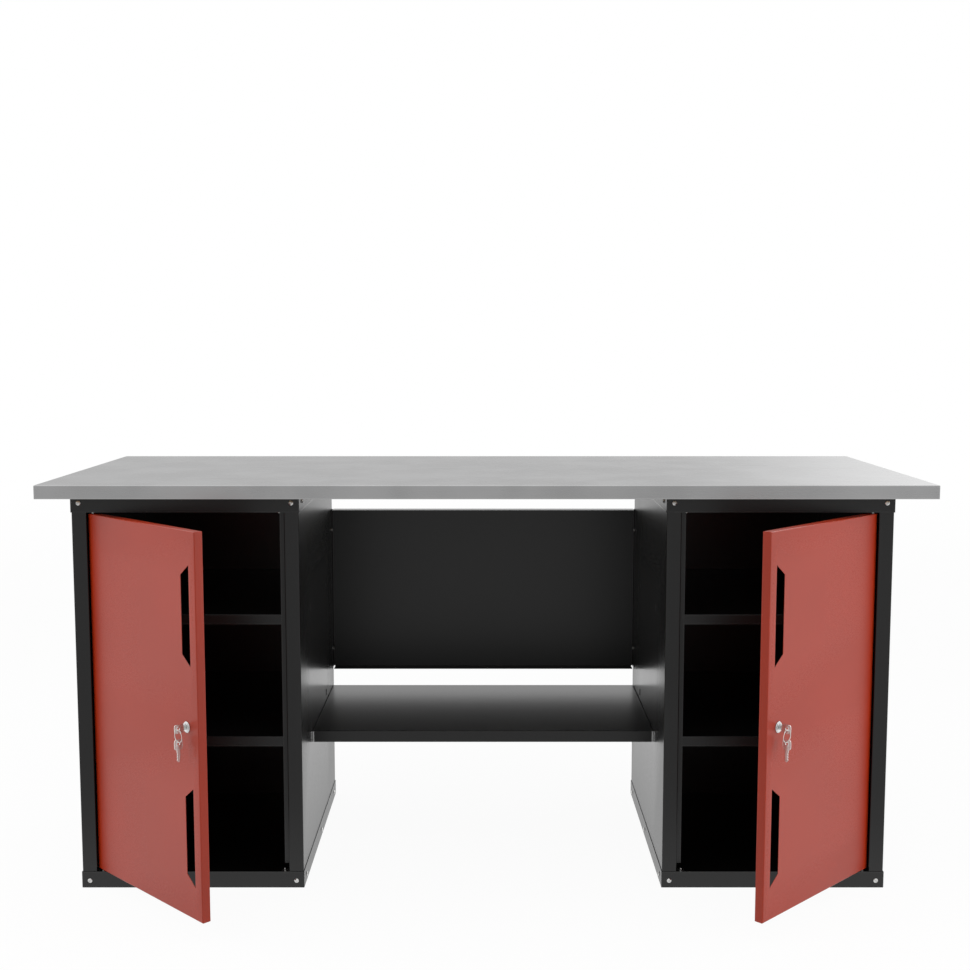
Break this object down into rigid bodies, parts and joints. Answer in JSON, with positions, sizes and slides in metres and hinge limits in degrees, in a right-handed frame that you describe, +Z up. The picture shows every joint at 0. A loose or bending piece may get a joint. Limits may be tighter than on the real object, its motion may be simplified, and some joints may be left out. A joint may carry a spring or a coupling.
{
  "type": "double pedestal workbench",
  "caption": "Steel-clad worktop carried by a door cabinet at each end, with a low shelf and a back panel across the knee space; the doors lock with keys.",
  "frame": {"origin": "centre of the footprint on the floor, measured with both doors open at 45 degrees as pictured", "axes": "+X to the user's right along the worktop, +Y from the user's side to the back, +Z up"},
  "size_m": [1.8, 0.8914, 0.8588],
  "materials": {
    "worktop_steel": "galvanised, satin",
    "board": "chipboard",
    "black_paint": "fine textured powder coat",
    "red_paint": "smooth powder coat",
    "zinc": "zinc plated",
    "chrome": "polished",
    "nickel": "nickel plated, satin"
  },
  "bodies": {
    "bench_frame": {"worktop_skin": "worktop_steel", "worktop_core": "board", "middle_shelf": "black_paint", "modesty_panel": "black_paint", "left_top_tray": "black_paint", "left_bottom_tray": "black_paint", "left_outer_side_panel": "black_paint", "left_inner_side_panel": "black_paint", "left_back_panel": "black_paint", "left_upper_shelf": "black_paint", "left_lower_shelf": "black_paint", "left_lower_hinge_bracket": "zinc", "left_lower_hinge_pin": "zinc", "left_lower_hinge_screw": "zinc", "left_upper_hinge_bracket": "zinc", "left_upper_hinge_pin": "zinc", "left_upper_hinge_screw": "zinc", "left_lower_spare_hinge_bracket": "zinc", "left_lower_spare_hinge_pin": "zinc", "left_lower_spare_hinge_screw": "zinc", "left_upper_spare_hinge_bracket": "zinc", "left_upper_spare_hinge_pin": "zinc", "left_upper_spare_hinge_screw": "zinc", "right_top_tray": "black_paint", "right_bottom_tray": "black_paint", "right_outer_side_panel": "black_paint", "right_inner_side_panel": "black_paint", "right_back_panel": "black_paint", "right_upper_shelf": "black_paint", "right_lower_shelf": "black_paint", "right_lower_hinge_bracket": "zinc", "right_lower_hinge_pin": "zinc", "right_lower_hinge_screw": "zinc", "right_upper_hinge_bracket": "zinc", "right_upper_hinge_pin": "zinc", "right_upper_hinge_screw": "zinc", "right_lower_spare_hinge_bracket": "zinc", "right_lower_spare_hinge_pin": "zinc", "right_lower_spare_hinge_screw": "zinc", "right_upper_spare_hinge_bracket": "zinc", "right_upper_spare_hinge_pin": "zinc", "right_upper_spare_hinge_screw": "zinc"},
    "left_door": {"left_door_panel": "red_paint", "left_lock_housing": "chrome", "left_lock_nut": "zinc"},
    "left_lock": {"left_lock_plug": "chrome", "left_lock_cam": "zinc", "left_cam_screw": "zinc"},
    "left_key": {"left_key": "nickel"},
    "left_key_ring": {"left_key_ring": "nickel"},
    "left_spare_key": {"left_spare_key": "nickel"},
    "right_door": {"right_door_panel": "red_paint", "right_lock_housing": "chrome", "right_lock_nut": "zinc"},
    "right_lock": {"right_lock_plug": "chrome", "right_lock_cam": "zinc", "right_cam_screw": "zinc"},
    "right_key": {"right_key": "nickel"},
    "right_key_ring": {"right_key_ring": "nickel"},
    "right_spare_key": {"right_spare_key": "nickel"}
  },
  "joints": [
    {"name": "left_door_hinge", "type": "hinge", "parent": "bench_frame", "child": "left_door", "pos_m": [-0.8075, -0.1678, 0.41595], "axis": [0, 0, -1], "range_deg": [-45, 55]},
    {"name": "left_lock_turn", "type": "hinge", "parent": "left_door", "child": "left_lock", "pos_m": [-0.56822, -0.4184, 0.41595], "axis": [-0.7071, -0.7071, 0], "range_deg": [0, 90]},
    {"name": "left_key_pull", "type": "slide", "parent": "left_lock", "child": "left_key", "axis": [-0.7071, -0.7071, 0], "range_m": [0, 0.024]},
    {"name": "left_key_ring_swing", "type": "hinge", "parent": "left_key", "child": "left_key_ring", "pos_m": [-0.58193, -0.43212, 0.414], "axis": [-0.7071, 0.7071, 0], "range_deg": [-6, 60]},
    {"name": "left_spare_key_swing", "type": "hinge", "parent": "left_key_ring", "child": "left_spare_key", "pos_m": [-0.58193, -0.43212, 0.39], "axis": [-0.7071, 0.7071, 0], "range_deg": [-8, 60]},
    {"name": "right_door_hinge", "type": "hinge", "parent": "bench_frame", "child": "right_door", "pos_m": [0.7915, -0.1678, 0.41595], "axis": [0, 0, 1], "range_deg": [-45, 55]},
    {"name": "right_lock_turn", "type": "hinge", "parent": "right_door", "child": "right_lock", "pos_m": [0.55222, -0.4184, 0.41595], "axis": [-0.7071, 0.7071, 0], "range_deg": [0, 90]},
    {"name": "right_key_pull", "type": "slide", "parent": "right_lock", "child": "right_key", "axis": [0.7071, -0.7071, 0], "range_m": [0, 0.024]},
    {"name": "right_key_ring_swing", "type": "hinge", "parent": "right_key", "child": "right_key_ring", "pos_m": [0.56593, -0.43212, 0.414], "axis": [-0.7071, -0.7071, 0], "range_deg": [-6, 60]},
    {"name": "right_spare_key_swing", "type": "hinge", "parent": "right_key_ring", "child": "right_spare_key", "pos_m": [0.56593, -0.43212, 0.39], "axis": [-0.7071, -0.7071, 0], "range_deg": [-8, 60]}
  ]
}
